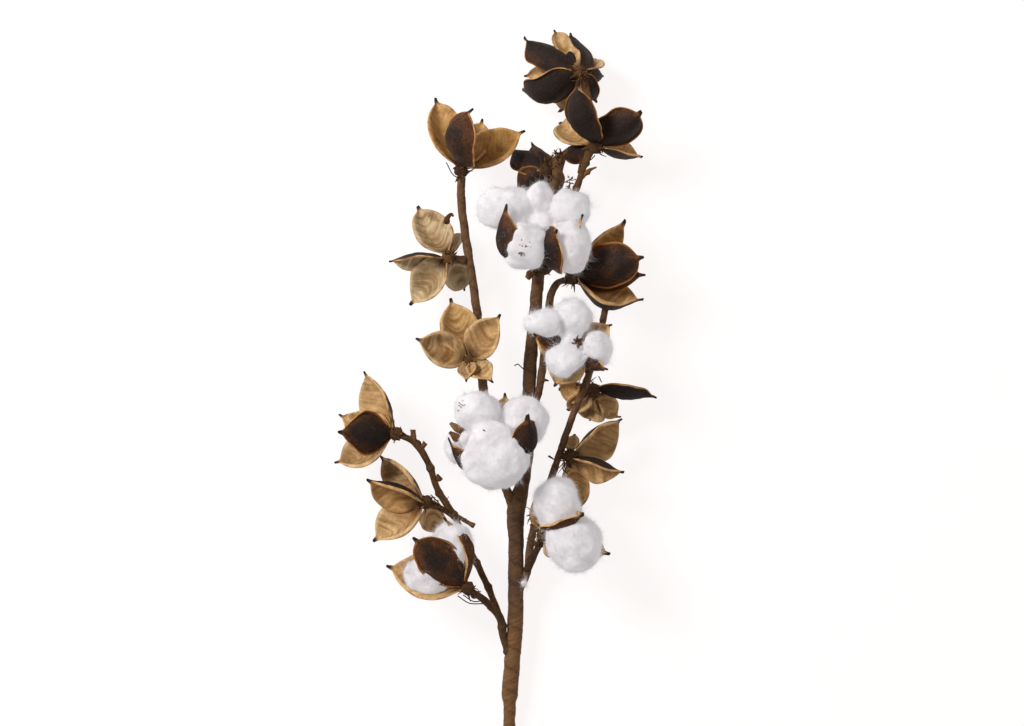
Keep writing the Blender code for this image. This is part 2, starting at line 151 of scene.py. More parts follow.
# A bur is its name, its seat, the points of its stalk up to there, its look, its valves and its locks of
# cotton.  A look is the inner side's tone, from golden to grey, the outer side's wear, from black to
# brown, and the depth of the inner side's wrinkles.  A valve is heading, pitch, length, width, face and
# bow, as in the source, then how blunt it ends and how far its beak turns aside.  A lock is its centre,
# from the seat, and its three half sizes.
HEADS = [
    bur("top_bur", (54, 249, 38), [], (0.6, 0.05, 0.3), [
        (152, -20, 43, 23, 145, BOW, 3, 1.5), (188, -36, 45, 31, -125, 0.38, 0.5, -2),
        (119, -26, 37, 13, -15, BOW, 1.5, 0.1), (104, -54, 42, 28, 160, BOW, 4, 0.1), (48, -58, 34, 20, 20),
        (0, -70, 38, 20, 180), (244, -48, 41, 24, 0), (181, -28, 41, 15, 0), (-56, -55, 32, 16, 150)]),
    bur("upper_right_bur", (63, 202, 42), [], (0.35, 0.15, 0.2), [
        (103, 31, 48, 28, -140, 0.3, 0.3, 0.1), (140, -39, 38, 27, -20, BOW, 1.2, 0.1),
        (35, 22, 39, 30, 152, BOW, 0.6, -2), (-4, -37, 38, 28, 58, BOW, 0.6), (190, -50, 32, 18, 150)]),
    bur("hidden_bur", (33, 188, 38), [], (0.2, 0.3, 0.5), [
        (150, -46, 36, 21, 150, BOW, 1.5, 1), (213, -42, 29, 20, -150), (118, -58, 34, 18, 160),
        (-63, -62, 34, 20, 180)]),
    bur("top_boll", (32, 127, 53), [(27, 118, 32), (29, 123, 43)], (0.25, 0.45, 0.4), [
        (120, 22, 49, 34, -112, 0.42), (64, 48, 36, 35, -126, 0.3), (55, 26, 42, 22, 20),
        (100, -4, 44, 24, 0)],
        [(-24, 36, 2, 19, 14, 13), (-3, 42, 4, 8, 11, 10), (15, 36, 6, 13, 12, 12),
         (-12, 13, 15, 14, 15, 14.5), (14.5, 13, 9, 13.5, 17, 14)]),
    bur("right_bur", (49, 121, 42), [], (0.3, 0.4, 0.5), [
        (44, -8, 50, 29, -48), (17, 20, 49, 32, 170, BOW, 0.6, 1), (3, -12, 46, 24, 170),
        (-12, -3, 46, 38, 60, 0.34)]),
    bur("middle_boll", (53, 77, 48), [(59, 62, 41), (57, 69, 44)], (0.5, 0.3, 0.4), [
        (163, 35, 35, 25, 12, 0.16, 1), (165, 30, 36, 15, 170), (-30, 50, 33, 20, 110, CLASP),
        (125, 22, 35, 22, 0), (39, 34, 28, 20, 0, BOW, 1), (236, 10, 28, 28, -10)],
        [(-20, 15.5, 14, 13, 8.5, 11), (-4, 19, 13, 12, 11, 12), (11, 0, 16, 9, 11, 11),
         (-8, -7, 15, 13, 11, 11)]),
    bur("small_right_bur", (62, 51, 32), [(56, 52, 39)], (0.4, 0.1, 0.6), [
        (-1, -6, 40, 29, 92, BOW, 0.2), (178, -35, 28, 20, 35, BOW, 0.3, 2), (222, -42, 28, 16, 20),
        (-95, -45, 31, 23, -20), (-51, -25, 28, 16, 0, BOW, 0, 3)]),
    bur("lower_right_bur", (48, 10, 36), [(42, 10, 31)], (0.35, 0.15, 1), [
        (33, -12, 41, 37, -50), (-22, 20, 36, 28, -66), (-80, -30, 43, 19, 0), (80, -20, 15, 11, 30)]),
    bur("lower_right_boll", (31, -38, 44), [], (0.5, 0.3, 0.4), [
        (35, 50, 43, 24, 102), (-17, 10, 43, 30, 12), (98, 8, 26, 15, 0), (-50, -8, 18, 18, 10)],
        [(9, 18, 9, 15, 17, 15), (19, -5, 13, 17, 18, 16)]),
    bur("centre_boll", (3, 16, 54), [(18, 4, 26), (10, 10, 40)], (0.4, 0.15, 0.4), [
        (166, 26, 34, 30, -100, 0.55), (54, 44, 38, 34, 112, 0.5), (81, 14, 34, 24, 0), (215, 6, 20, 18, 0),
        (-35, 8, 24, 22, 0)],
        [(-13, 22, 10, 14, 13, 13), (16, 16, 6, 15, 16, 13), (-1.5, -5, 18, 21, 20, 16),
         (-26, 0, 3, 7, 10, 8), (-4, -18, 10, 12, 8, 8), (-17, 5, 7, 8, 8, 8)]),
    bur("upper_left_bur", (-20, 188, 35), [], (0.1, 0.5, 0.25), [
        (110, -12, 51, 28, -20, BOW, 0.3, -2), (76, 30, 45, 38, -125, 0.34, 0.2, 2), (69, -36, 47, 24, 10),
        (36, -10, 48, 31, 30)]),
    bur("left_bur", (-28, 134, 33), [(-17, 132, 31), (-23, 133, 32)], (0.9, 0.2, 1), [
        (122, -18, 41, 26, -10), (187, 2, 37, 22, 62, BOW, 0.4, 3), (230, -8, 39, 26, -20),
        (-62, -45, 34, 20, 0), (84, -60, 40, 18, 20)]),
    bur("left_lower_bur", (-15, 69, 46), [(-8, 65, 31), (-12, 67, 39)], (0.5, 0.4, 0.7), [
        (107, -10, 42, 28, -5), (156, 20, 37, 25, -15), (57, 22, 36, 26, 25), (-100, 60, 21, 13, -20),
        (-38, 50, 27, 18, 20)]),
    bur("far_left_bur", (-61, 24, 35), [], (0.5, 0.4, 0.5), [
        (120, -12, 45, 34, 48), (163, -26, 44, 20, -20), (178, 30, 42, 32, 180, BOW, -0.4, 0.1),
        (204, -14, 45, 29, -34, 0.2, 0.2, -1)]),
    bur("far_left_lower_bur", (-42, -19, 30), [], (0.45, 0.05, 0.5), [
        (138, -14, 43, 34, 51), (162, 20, 41, 35, 60), (215, 3, 41, 33, -40), (188, -50, 34, 16, 0),
        (-72, -45, 34, 18, 0)]),
    bur("lower_left_boll", (-16, -72, 41), [], (0.3, 0.75, 0.3), [
        (135, 20, 51, 29, 180, BOW, 0.5), (165, -10, 54, 34, -20), (114, -3, 46, 16, 95, 0.3),
        (148, -42, 40, 24, 0)],
        [(-25, 7, -6, 14, 13, 13), (-10, 25, -7, 13, 16, 14), (-19, 17, -14, 14, 14, 11)]),
]

# Bits of twig: tone, flatness, then x, y, z and radius along each.
TWIG_BITS = [
    (0.7, 1, [(28, 129, 43, 2.1), (24, 124, 45, 2.1), (21, 120.5, 46, 1.9)]),
    (0.9, 0.5, [(55, 183, 41, 1.2), (59, 187.5, 42, 1.1), (64, 189.5, 43, 0.5)]),
    (0.6, 1, [(53, 186, 41, 0.8), (53.6, 191, 42, 0.6), (54, 195, 42, 0.2)]),
    (0.3, 0.5, [(29, 57, 31, 1.4), (32, 57.4, 33, 1.3), (34.5, 57, 33, 0.5)]),
    (0.5, 1, [(34.4, 9.9, 30, 0.7), (36.5, 8.6, 31, 0.5), (38, 7.5, 31, 0.15)]),
    (0.8, 1, [(-50, 19, 33, 1.9), (-50, 23, 34, 1.7), (-50, 26.5, 34, 1.3)]),
    (0.6, 1, [(-45, 14.5, 32, 1.6), (-43.5, 16.4, 33, 1.4), (-42, 18, 33, 1.1)]),
    (0.4, 1, [(-33, -5, 30, 1.4), (-34.4, -3, 31, 1), (-35, -1.2, 31, 0.4)]),
    (0.6, 1, [(-26, -26, 22, 1.5), (-20, -29.5, 22, 1.3), (-12, -34.4, 22, 1.1)]),
    (1, 0.3, [(-26.5, 31, 61, 1.2), (-22, 28, 64, 3.1), (-17.5, 24.5, 62, 1.4)]),
    (0.8, 0.3, [(-27, 25.5, 61, 1), (-23, 22.5, 63, 2.9), (-19.5, 18, 61, 1.2)]),
    (0.2, 0.4, [(-19.5, 27, 61, 0.8), (-17, 23, 62, 1.8), (-17.5, 17.5, 61, 0.8)]),
    (0.35, 0.7, [(-29.5, 155, 36, 1.4), (-28.5, 158.5, 38, 1.5), (-26, 160.5, 38, 1), (-25, 159, 38, 0.5)]),
]

# Thin wires and tendrils: x, y and z along each.
WIRES = [
    [(19.5, 63.5, 30), (17, 65.7, 31), (15.2, 67.3, 31), (13, 66.3, 30)],
    [(65.4, 59.8, 38), (67.3, 56, 37)],
    [(58, 193, 42), (60.6, 194.4, 42), (63, 197, 41)],
    [(-22, -29, 22), (-19, -29.8, 22), (-17, -29.6, 22)],
    [(-39.4, -14.4, 25), (-35, -19, 24), (-30.9, -23.9, 24)],
    [(-22.3, -77.2, 34), (-15.2, -81.9, 31), (-6.8, -82.5, 28)],
    [(-19, -76.6, 34), (-12, -81, 30), (-6, -80.3, 27)],
    [(-29.5, 193, 36), (-24.3, 184.5, 36), (-20.5, 183, 34)],
    [(-11.5, 189.5, 36), (-15, 187, 36), (-18, 184.5, 35)],
]

# Tufts of torn fibres or scales: centre, spread, aim, number, length and radius.
TUFTS = [
    ((41, 195, 40), (4, 4, 2.5), (0, 0.5, 0.4), 46, 5, 1),
    ((36, 188, 39), (4, 7, 2), (-0.3, 0.5, 0.6), 34, 5, 0.9),
    ((49, 177, 39), (3, 7, 2), (-0.5, -0.2, 0.4), 26, 6, 0.6),
    ((25, -28.5, 39), (2.5, 5, 3), (0, 0.3, 0.5), 26, 5, 0.9),
    ((60, 215, 37), (1.5, 8, 1.5), (0, 0.3, 0.4), 14, 6, 0.5),
    ((55, 246, 41), (3, 4, 2), (0, -0.3, 0.4), 26, 6, 0.7),
    ((56, 52, 37), (5, 4, 2), (0.3, 0, 0.5), 40, 5, 0.55),
    ((46, 4, 36), (3, 4, 2), (0, -0.3, 0.5), 26, 6, 0.5),
    ((26, -42, 40), (2, 7, 3), (0, 0.3, 0.4), 24, 6, 0.5),
    ((-32, -20, 31), (4, 3, 2), (0.2, 0.2, 0.4), 22, 5, 0.5),
]

# The lint caught on the right stem: centre, radius, number of fibres and seed.
STEM_TUFT = ((19, -70, 22), 1.6, 300, 5)

# Dark flecks on the cotton: its boll, their middle in x and y, their spread, number and size.
FLECKS = [
    ("top_boll", 19, 139, 4.2, 16, 0.36),
    ("top_boll", 17, 134.5, 1.6, 8, 0.45),
    ("centre_boll", -20, 42, 2.6, 8, 0.35),
    ("centre_boll", -5.8, 27.6, 0.3, 2, 0.45),
    ("middle_boll", 51.5, 81, 2.6, 26, 0.75),
    ("lower_left_boll", -30, -58, 3, 3, 0.3),
]


# ---------------- patches

def noise_at(points, scale, seed):
    """Smooth noise from -1 to 1 at each point."""
    shift = Vector((seed * 17.3, seed * 5.1, seed * 9.7))
    values = [noise.noise(Vector(point) * scale + shift) for point in points.reshape(-1, 3)]
    return np.array(values).reshape(points.shape[:-1])


def triples(first, second, third):
    """Vectors, or the corners of triangles, from three arrays."""
    return np.stack([first, second, third], axis=-1)


def unit(vectors):
    """Vectors scaled to a length of one."""
    return vectors / np.maximum(np.linalg.norm(vectors, axis=-1, keepdims=True), 1e-9)


def stacked(parts):
    """One set of points and faces from several."""
    starts = np.cumsum([0] + [len(points) for points, _ in parts[:-1]])
    return (np.concatenate([points for points, _ in parts]),
            np.concatenate([faces + start for (_, faces), start in zip(parts, starts)]))


def joined(patches):
    """One patch from several."""
    points, faces = stacked([(patch.points, patch.faces) for patch in patches])
    skin, grain, material = (np.concatenate([getattr(patch, field) for patch in patches])
                             for field in ("skin", "grain", "material"))
    return Patch(points, faces, skin, grain, material)


def plain_patch(points, faces, skin, material=0):
    """A patch of one material whose grain is its own points."""
    return Patch(points, faces, skin, points.copy(), np.full(len(faces), material))


def linked(name, data):
    """A new object of the scene."""
    thing = bpy.data.objects.new(name, data)
    bpy.context.scene.collection.objects.link(thing)
    return thing


def add_piece(name, patch, materials):
    """A mesh object from a patch, scaled to metres and kept above the surface, with its attributes."""
    placed = patch.points * MM
    placed[:, 2] = np.maximum(placed[:, 2], 0)
    mesh = bpy.data.meshes.new(name)
    mesh.from_pydata(placed.tolist(), [], patch.faces.tolist())
    for material in materials:
        mesh.materials.append(material)
    mesh.polygons.foreach_set("material_index", patch.material)
    skin = mesh.attributes.new("skin", "FLOAT_COLOR", "POINT")
    skin.data.foreach_set("color", patch.skin.ravel())
    grain = mesh.attributes.new("grain", "FLOAT_VECTOR", "POINT")
    grain.data.foreach_set("vector", patch.grain.ravel())
    mesh.shade_smooth()
    return linked(name, mesh)


def grid_faces(rows, columns, start=0, wrap=False):
    """Triangles of a grid of points, row by row, closed round each row where it wraps."""
    row, column = np.meshgrid(np.arange(rows - 1), np.arange(columns if wrap else columns - 1), indexing="ij")
    after = (column + 1) % columns
    a, b = start + row * columns + column, start + row * columns + after
    c, d = b + columns, a + columns
    return np.stack([triples(a, b, c), triples(a, c, d)], 2).reshape(-1, 3)


def ball_arrays(subdivisions):
    """Points and triangles of a sphere of radius one."""
    bm = bmesh.new()
    bmesh.ops.create_icosphere(bm, subdivisions=subdivisions, radius=1)
    bmesh.ops.triangulate(bm, faces=bm.faces)
    points = np.array([corner.co for corner in bm.verts])
    faces = np.array([[corner.index for corner in face.verts] for face in bm.faces])
    bm.free()
    return points, faces


# ---------------- valves

def heading_vector(heading, pitch):
    """The unit vector at a compass heading and a rise, both in degrees."""
    turn = math.radians(heading)
    rise = math.radians(pitch)
    return Vector((math.cos(rise) * math.cos(turn), math.cos(rise) * math.sin(turn), math.sin(rise)))


def valve_frame(seat, valve):
    """The matrix whose X runs from base to tip and whose Z is the valve's inner side."""
    along = heading_vector(valve.heading, valve.pitch)
    left = heading_vector(valve.heading + 90, 0)
    up = along.cross(left)
    roll = math.radians(valve.face)
    inner = up * math.cos(roll) + left * math.sin(roll)
    across = inner.cross(along)
    turn = Matrix((along, across, inner)).transposed().to_4x4()
    return Matrix.Translation(seat) @ turn


def moved(matrix, points):
    """Points through a 4x4 matrix."""
    turn = np.array(matrix.to_3x3())
    return points @ turn.T + np.array(matrix.translation)


def valve_outline(u, blunt):
    """Half-width along a valve, as a share of its widest: round base, full middle, tapering beak."""
    base = (1 - np.clip(1 - u / WIDEST, 0, 1) ** 2.2) ** 0.75
    fall = np.clip((u - WIDEST) / (BODY_END - WIDEST), 0, 1)
    body = base * (1 - fall ** (2.1 + 1.8 * blunt))
    beak = 0.03 + 0.09 * np.clip((1 - u) / 0.12, 0, 1) + 0.1 * np.clip(1 - u / 0.2, 0, 1)
    return (body ** 4 + beak ** 4) ** 0.25


def valve_middle(valve, u, v, flare=0.0):
    """Points of a valve's middle surface, for u from base to tip and v from edge to edge."""
    outline = valve_outline(u, valve.blunt)
    half = valve.width / 2 * outline
    cupped = np.minimum(np.abs(v), LIP)
    edge = CUP * valve.width * outline * cupped ** 1.8 + flare * (np.abs(v) - cupped) * half
    spine = -valve.bow * valve.length * np.sin(np.pi * u) - BEAK * valve.length * u ** 6
    x = VALVE_ROOT + u * (valve.length - VALVE_ROOT)
    y = half * v * (1 - EDGE_PULL * np.abs(v))
    return triples(x, y, spine + edge)


def ring_order(rows, columns):
    """The boundary of a grid, in order, and the way out of the grid at each of its points."""
    bottom = [(column, (-1, 0)) for column in range(columns)]
    right = [(row * columns + columns - 1, (0, 1)) for row in range(1, rows)]
    top = [((rows - 1) * columns + column, (1, 0)) for column in range(columns - 2, -1, -1)]
    left = [(row * columns, (0, -1)) for row in range(rows - 2, 0, -1)]
    order = bottom + right + top + left
    return [place for place, _ in order], np.array([way for _, way in order], float)


def bent(valve, points, u, v, random):
    """A valve's middle surface with wavy edges, a slight twist and a beak that turns aside."""
    waves = triples(points[..., 0] * 0.1, np.sign(v) * 2.0, np.zeros_like(u))
    waver = noise_at(waves, 1, random.integers(1000)) * np.abs(v) ** 4
    points = points.copy()
    points[..., 2] += waver * WAVES[0]
    points[..., 1] += waver * np.sign(v) * WAVES[1]
    turn = np.clip((u - HOOK_START) / (1 - HOOK_START), 0, 1) ** 2
    aside = valve.hook if valve.hook else random.uniform(-1.6, 1.6)
    points[..., 1] += turn * aside
    points[..., 2] -= turn * random.uniform(0.3, 2.2)
    limit = HELD_TWIST if valve.bow >= CLASP else TWIST
    twist = random.uniform(-limit, limit) * (u - 0.2)
    cos, sin = np.cos(twist), np.sin(twist)
    y, z = points[..., 1].copy(), points[..., 2].copy()
    points[..., 1], points[..., 2] = y * cos - z * sin, y * sin + z * cos
    return points


def streak_lines(x, y, look, seed, random):
    """The lines that a valve's lining is streaked and folded along: a fan out from the midrib."""
    fan = math.radians(random.uniform(14, 30) + 20 * look.wrinkle)
    aside = np.sqrt(y * y + 16)
    return triples(-x * math.sin(fan) + aside * math.cos(fan), x * math.cos(fan) + aside * math.sin(fan),
                   np.full(x.shape, seed * 3.7))


def shell_faces(rows, columns, ring):
    """Triangles of two grids that face apart and of the band round their edges."""
    size = rows * columns
    middle = 2 * size + np.arange(len(ring))
    after = np.roll(middle, -1)
    corner, following = np.array(ring), np.roll(ring, -1)
    return np.concatenate([
        grid_faces(rows, columns)[:, ::-1], grid_faces(rows, columns, size),
        triples(corner, following, middle), triples(following, after, middle),
        triples(middle, after, corner + size), triples(after, following + size, corner + size)])


def valve_skin(valve, look, u, v, ring, random):
    """Side, distance from the edge, place along and tone or wear, for the inside, outside and rim."""
    margin = (valve.width / 2 * valve_outline(u, valve.blunt) * (1 - np.abs(v)) / 10).ravel()
    tone = np.clip(look.tone + random.uniform(-0.15, 0.15), 0, 1)
    wear = np.clip(look.wear + random.uniform(-0.1, 0.1), 0, 1)
    along = u.ravel()
    half = np.full(len(ring), 0.5)
    return np.concatenate([
        np.stack([0 * margin, margin, along, 0 * margin + tone], axis=-1),
        np.stack([0 * margin + 1, margin, along, 0 * margin + wear], axis=-1),
        np.stack([half, 0 * half, along[ring], 0 * half + tone], axis=-1)])


def valve_patch(seat, valve, look, seed):
    """One valve: a thin boat-shaped shell with a flared lip, wrinkled inside and pitted outside."""
    random = np.random.default_rng(seed)
    rows, columns = VALVE_ROWS + 1, len(VALVE_COLUMNS)
    u = 1 - (1 - np.linspace(0, 1, rows)) ** 1.25
    u, v = np.meshgrid(u, np.array(VALVE_COLUMNS), indexing="ij")
    plain = valve_middle(valve, u, v, random.uniform(-0.5, 0.1))
    x, y = plain[..., 0], plain[..., 1]
    points = bent(valve, plain, u, v, random)
    gradients = np.gradient(points, axis=0), np.gradient(points, axis=1)
    normal = unit(np.cross(*gradients))
    lining = streak_lines(x, y, look, seed, random)
    skin_lines = triples(y, x, np.full(x.shape, seed * 2.3))
    folds = noise_at(lining * (0.3, 0.06, 1), 1, 0)
    pits = noise_at(skin_lines, 0.3, seed)
    calm = np.clip((LIP - np.abs(v)) * 6, 0, 1) * np.clip(u * 6, 0, 1) * np.clip((1 - u) * 6, 0, 1)
    midrib = np.exp(-(y / 1.2) ** 2) * np.clip(1 - u * 1.25, 0, 1)
    thin = WALL / 2 * (1 - 0.2 * np.abs(v))
    relief = 0.7 * look.wrinkle * folds + 0.4 * midrib
    inside = (points + normal * (thin + calm * relief)[..., None]).reshape(-1, 3)
    outside = (points - normal * (thin + calm * 0.3 * pits)[..., None]).reshape(-1, 3)
    ring, ways = ring_order(rows, columns)
    down, across = (unit(gradient).reshape(-1, 3)[ring] for gradient in gradients)
    rim = (inside[ring] + outside[ring]) / 2 + (down * ways[:, :1] + across * ways[:, 1:]) * WALL * 0.35
    lining = lining.reshape(-1, 3)
    faces = shell_faces(rows, columns, ring)
    return Patch(
        moved(valve_frame(seat, valve), np.concatenate([inside, outside, rim])), faces,
        valve_skin(valve, look, u, v, ring, random),
        np.concatenate([lining, skin_lines.reshape(-1, 3), lining[ring]]), np.zeros(len(faces), int))


# ---------------- tubes

def smooth_path(points, step):
    """Distances, centres and radii along a smooth curve through points of x, y, z and radius."""
    knots = np.array(points, float)
    chords = np.linalg.norm(np.diff(knots[:, :3], axis=0), axis=1)
    at = np.concatenate([[0], np.cumsum(chords)])
    slopes = np.gradient(knots[:, :3], at, axis=0)
    distance = np.linspace(0, at[-1], max(3, round(at[-1] / step)) + 1)
    part = np.clip(np.searchsorted(at, distance, side="right") - 1, 0, len(chords) - 1)
    chord = chords[part][:, None]
    t = ((distance - at[part]) / chords[part])[:, None]
    places = knots[:, :3]
    centres = ((2 * t ** 3 - 3 * t ** 2 + 1) * places[part] + (t ** 3 - 2 * t ** 2 + t) * chord * slopes[part]
               + (3 * t ** 2 - 2 * t ** 3) * places[part + 1] + (t ** 3 - t ** 2) * chord * slopes[part + 1])
    radii = np.interp(distance, at, knots[:, 3])
    return distance, centres, radii


def ring_axes(centres):
    """Two directions square to a path at each of its points, without sudden turns."""
    tangents = unit(np.gradient(centres, axis=0))
    first = np.cross(tangents[0], (0.31, 0.17, 0.93))
    sides = []
    for tangent in tangents:
        first = first - tangent * first.dot(tangent)
        first = first / np.linalg.norm(first)
        sides.append(first)
    sides = np.array(sides)
    return sides, np.cross(tangents, sides)


def tube_patch(points, step, sides, tone, relief=None, material=0, flat=1.0):
    """A closed tube; relief gives its surface's height and its furrows at each distance and angle."""
    distance, centres, radii = smooth_path(points, step)
    first, second = ring_axes(centres)
    along, around = np.meshgrid(distance, np.arange(sides) / sides * 2 * math.pi, indexing="ij")
    height, furrow = relief(along, around, radii[:, None]) if relief else (0 * along, 0 * along)
    radius = radii[:, None] + height
    shell = (centres[:, None] + (radius * np.cos(around))[..., None] * first[:, None]
             + (flat * radius * np.sin(around))[..., None] * second[:, None])
    count = shell.shape[0] * sides
    corner = np.arange(sides)
    after = (corner + 1) % sides
    last = count - sides
    faces = np.concatenate([
        grid_faces(len(distance), sides, 0, True),
        triples(np.full(sides, count), after, corner),
        triples(np.full(sides, count + 1), last + corner, last + after)])
    winding = around - along / TAPE_TURN * 2 * math.pi
    grain = triples(radius * np.cos(winding), radius * np.sin(winding), along).reshape(-1, 3)
    tones = np.broadcast_to(tone, along.shape).ravel()
    skin = np.stack([furrow.ravel(), 0 * tones, (along / distance[-1]).ravel(), tones], axis=-1)
    return Patch(
        np.concatenate([shell.reshape(-1, 3), centres[:1], centres[-1:]]), faces,
        np.concatenate([skin, skin[:1], skin[-1:]]), np.concatenate([grain, grain[:1], grain[-1:]]),
        np.full(len(faces), material))


def tape_relief(seed):
    """Paper tape wound round a stem: overlapping edges, fine creases and the lumps beneath."""
    def relief(distance, angle, radius):
        phase = (distance / TAPE_TURN + angle / (2 * math.pi)) % 1
        lap = np.clip(1 - phase / TAPE_LAP, 0, 1)
        spots = triples(radius * np.cos(angle), radius * np.sin(angle), distance * 0.45)
        lumps = noise_at(spots, 0.22, seed)
        rough = noise_at(spots, 0.8, seed + 2)
        creases = noise_at(triples(phase * 9, distance * 0.05, angle * 0.2), 1, seed)
        return 0.24 * (0.5 - phase) + 0.4 * lumps + 0.22 * rough + 0.1 * creases, lap
    return relief


def bark_relief(seed):
    """A dry twig: long ridges, and a node with its scar every so often."""
    def relief(distance, angle, radius):
        spots = triples(radius * np.cos(angle), radius * np.sin(angle), distance * 0.16)
        ridges = noise_at(spots, 0.9, seed)
        lumps = noise_at(spots, 0.3, seed + 5)
        place = distance / NODE_SPACING + 0.2 * seed
        node = np.exp(-((place % 1 - 0.5) * NODE_SPACING / NODE_LENGTH) ** 2)
        side = 0.5 + 0.5 * np.cos(angle - np.floor(place) * NODE_TURN)
        return 0.35 * ridges + 0.35 * lumps + node * side * 1.2, np.clip(-ridges * 1.6, 0, 1)
    return relief


def strand(start, direction, length, radius, random, curl, material, flat):
    """A short tapered fibre or scale with a bend."""
    direction = unit(np.array(direction, float))
    bend = unit(random.normal(size=3)) * curl
    middle = start + (direction + bend * 0.3) * length * 0.5
    tip = start + (direction + bend) * length
    points = [(*start, radius), (*middle, radius * 0.8), (*tip, radius * 0.25)]
    return tube_patch(points, length / 5, 5, random.uniform(0, 1), None, material, flat)


# ---------------- burs and stems

def receptacle_patch(seat, tone, seed):
    """The rough knob that a bur's valves grow from."""
    points, faces = ball_arrays(3)
    rough = 1 + 0.2 * noise_at(points, 2.1, seed) + 0.12 * noise_at(points, 6.5, seed + 3)
    placed = points * (rough * RECEPTACLE)[:, None] + np.array(seat)
    return plain_patch(placed, faces, np.tile((0.5, 0, 0.5, tone), (len(points), 1)), 1)


def bur_patch(head, seed):
    """A bur: valves, receptacle, the dry scales round it and its stalk."""
    random = np.random.default_rng(seed)
    seat = np.array(head.seat, float)
    patches = [valve_patch(head.seat, valve, head.look, seed * 10 + place)
               for place, valve in enumerate(head.valves)]
    patches.append(receptacle_patch(head.seat, head.look.tone, seed))
    for _ in range(SCALES):
        direction = unit(random.normal(size=3))
        direction[2] = abs(direction[2]) * 0.8
        start = seat + direction * RECEPTACLE * 0.75
        patches.append(strand(start, direction, random.uniform(2, 5), random.uniform(0.35, 0.9), random,
                              0.6, 1, random.uniform(0.35, 1)))
    if head.stalk:
        points = [(*point, STALK) for point in head.stalk] + [(*head.seat, STALK)]
        patches.append(tube_patch(points, 0.8, STALK_SIDES, 0.3, bark_relief(seed), 1))
    return joined(patches)


def main_stem_tone(points):
    """The main stem's tape: pale below the lower joint, dark from there to the fork."""
    _, centres, _ = smooth_path(points, STEM_STEP)
    return np.interp(centres[:, 1], *zip(*MAIN_STEM_TONES))[:, None]


def stem_patch(stem, seed):
    """A stem with its tape or its bark."""
    tone = main_stem_tone(stem.points) if stem.name == "main_stem" else stem.tone
    if stem.finish == "tape":
        return tube_patch(stem.points, STEM_STEP, TAPE_SIDES, tone, tape_relief(seed))
    return tube_patch(stem.points, STEM_STEP, BARK_SIDES, tone, bark_relief(seed))


def twig_bits():
    """Cut ends, buds and side shoots of the twigs."""
    return joined([tube_patch(points, 0.6, 9, tone, bark_relief(number), 0, flat)
                   for number, (tone, flat, points) in enumerate(TWIG_BITS)])


def wire_bits():
    """Thin wires and tendrils."""
    return joined([tube_patch([(*point, WIRE_RADIUS) for point in points], 1, 6, 0) for points in WIRES])


def tuft_bits():
    """Torn fibres and dry scales, in tufts."""
    patches = []
    for number, (centre, spread, aim, count, length, radius) in enumerate(TUFTS):
        random = np.random.default_rng(100 + number)
        for _ in range(count):
            start = np.array(centre, float) + random.uniform(-1, 1, 3) * spread
            direction = unit(random.normal(size=3)) + np.array(aim, float)
            patches.append(strand(start, direction, random.uniform(0.4, 1) * length,
                                  random.uniform(0.4, 1) * radius, random, 0.6, 0, random.uniform(0.3, 1)))
    return joined(patches)


# ---------------- lint

def fused(parts, voxel):
    """Points and triangles of the smoothed skin round several closed bodies."""
    points, faces = stacked(parts)
    mesh = bpy.data.meshes.new("loose")
    mesh.from_pydata(points.tolist(), [], faces.tolist())
    thing = linked("loose", mesh)
    remesh = thing.modifiers.new("fuse", "REMESH")
    remesh.mode = "VOXEL"
    remesh.voxel_size = voxel
    smooth = thing.modifiers.new("smooth", "SMOOTH")
    smooth.factor = 0.5
    smooth.iterations = 4
    graph = bpy.context.evaluated_depsgraph_get()
    made = bpy.data.meshes.new_from_object(thing.evaluated_get(graph), depsgraph=graph)
    bpy.data.objects.remove(thing, do_unlink=True)
    made.calc_loop_triangles()
    corners = np.empty(len(made.vertices) * 3)
    made.vertices.foreach_get("co", corners)
    triangles = np.empty(len(made.loop_triangles) * 3, int)
    made.loop_triangles.foreach_get("vertices", triangles)
    bpy.data.meshes.remove(made)
    return corners.reshape(-1, 3), triangles.reshape(-1, 3)


def face_normals(points, triangles):
    """Normals of the triangles, as long as twice their areas."""
    a, b, c = (points[triangles[:, column]] for column in range(3))
    return np.cross(b - a, c - a)


def corner_normals(points, triangles):
    """Unit normals at the points of a triangle mesh."""
    flat = face_normals(points, triangles)
    normals = np.zeros_like(points)
    for column in range(3):
        np.add.at(normals, triangles[:, column], flat)
    return unit(normals)


def kept_in_cups(points, head):
    """Points moved to the inner side of the valves that clasp the lint."""
    placed = points.copy()
    for valve in head.valves:
        if valve.bow != CLASP:
            continue
        matrix = valve_frame(head.seat, valve)
        local = moved(matrix.inverted(), placed)
        u = (local[:, 0] - VALVE_ROOT) / (valve.length - VALVE_ROOT)
        half = valve.width / 2 * valve_outline(np.clip(u, 0, 1), valve.blunt)
        v = local[:, 1] / np.maximum(half, 0.1)
        v = v / (1 - EDGE_PULL * np.clip(np.abs(v), 0, 1))
        surface = valve_middle(valve, np.clip(u, 0, 1), np.clip(v, -1, 1))[:, 2]
        lift = surface + CLEARANCE - local[:, 2]
        near = (u > 0) & (u < 0.98) & (np.abs(v) < 1.06) & (lift > 0)
        fade = np.clip((1.06 - np.abs(v)) / 0.15, 0, 1) * np.clip((0.98 - u) / 0.08, 0, 1)
        reach = np.clip((16 - lift) / 4, 0, 1)
        local[:, 2] += np.where(near, lift * fade * reach, 0)
        placed = moved(matrix, local)
    return placed


